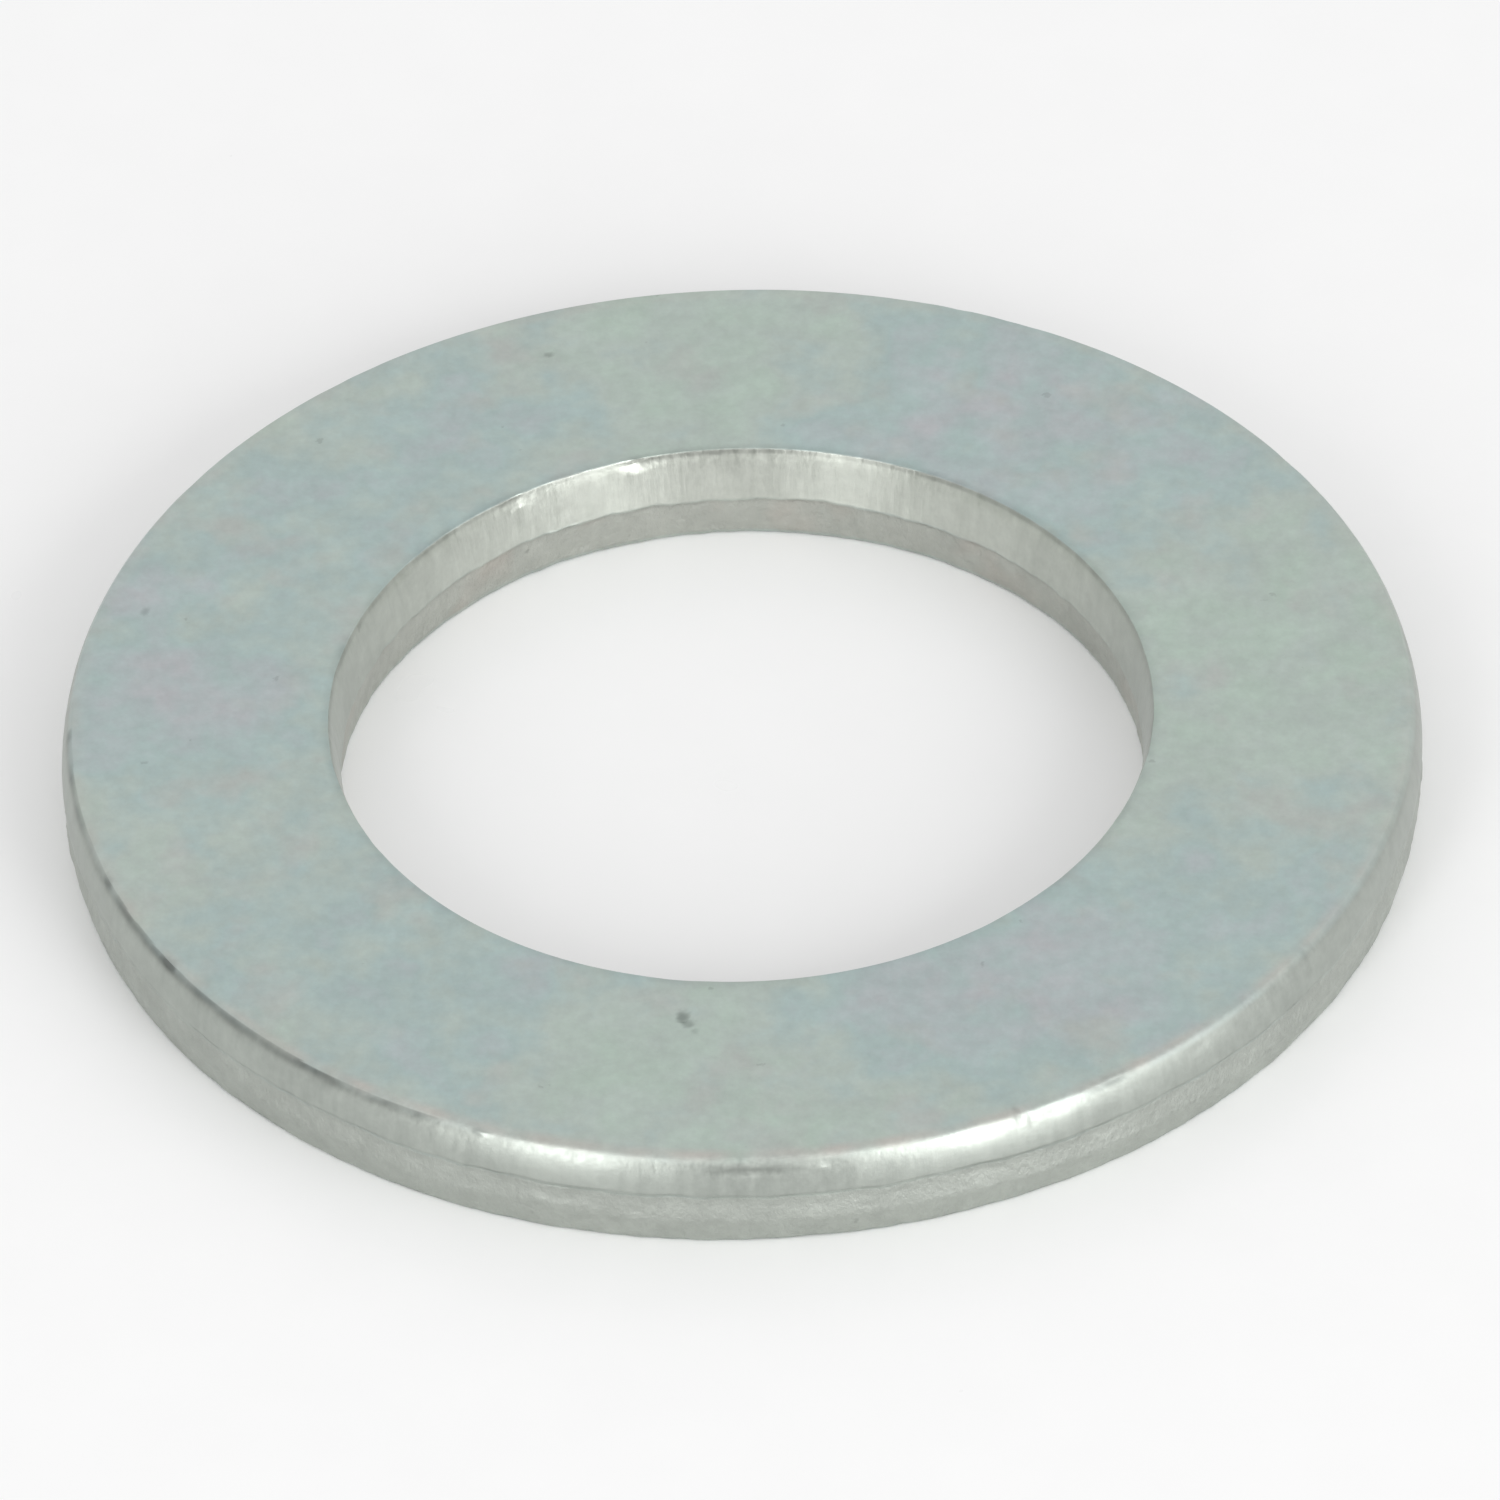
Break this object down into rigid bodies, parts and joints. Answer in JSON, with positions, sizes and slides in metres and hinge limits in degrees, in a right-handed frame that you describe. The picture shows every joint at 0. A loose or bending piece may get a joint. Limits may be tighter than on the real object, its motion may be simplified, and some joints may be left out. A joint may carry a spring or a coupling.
{
  "type": "flat washer",
  "caption": "Flat round washer with a plain bore, which spreads the load of an M22 bolt head or nut over the joint it clamps.",
  "frame": {"origin": "centre of the lower face, on the axis of the bore", "axes": "+Z along the bore's axis, out of the upper face, whose outer edge is rolled over; X and Y lie in the lower face, and the ring is round, so their direction doesn't matter"},
  "size_m": [0.039, 0.039, 0.003],
  "materials": {
    "zinc_plated_steel": "satin bright zinc plate with a blue-clear passivate"
  },
  "bodies": {
    "root": {"flat_washer": "zinc_plated_steel"}
  },
  "joints": []
}
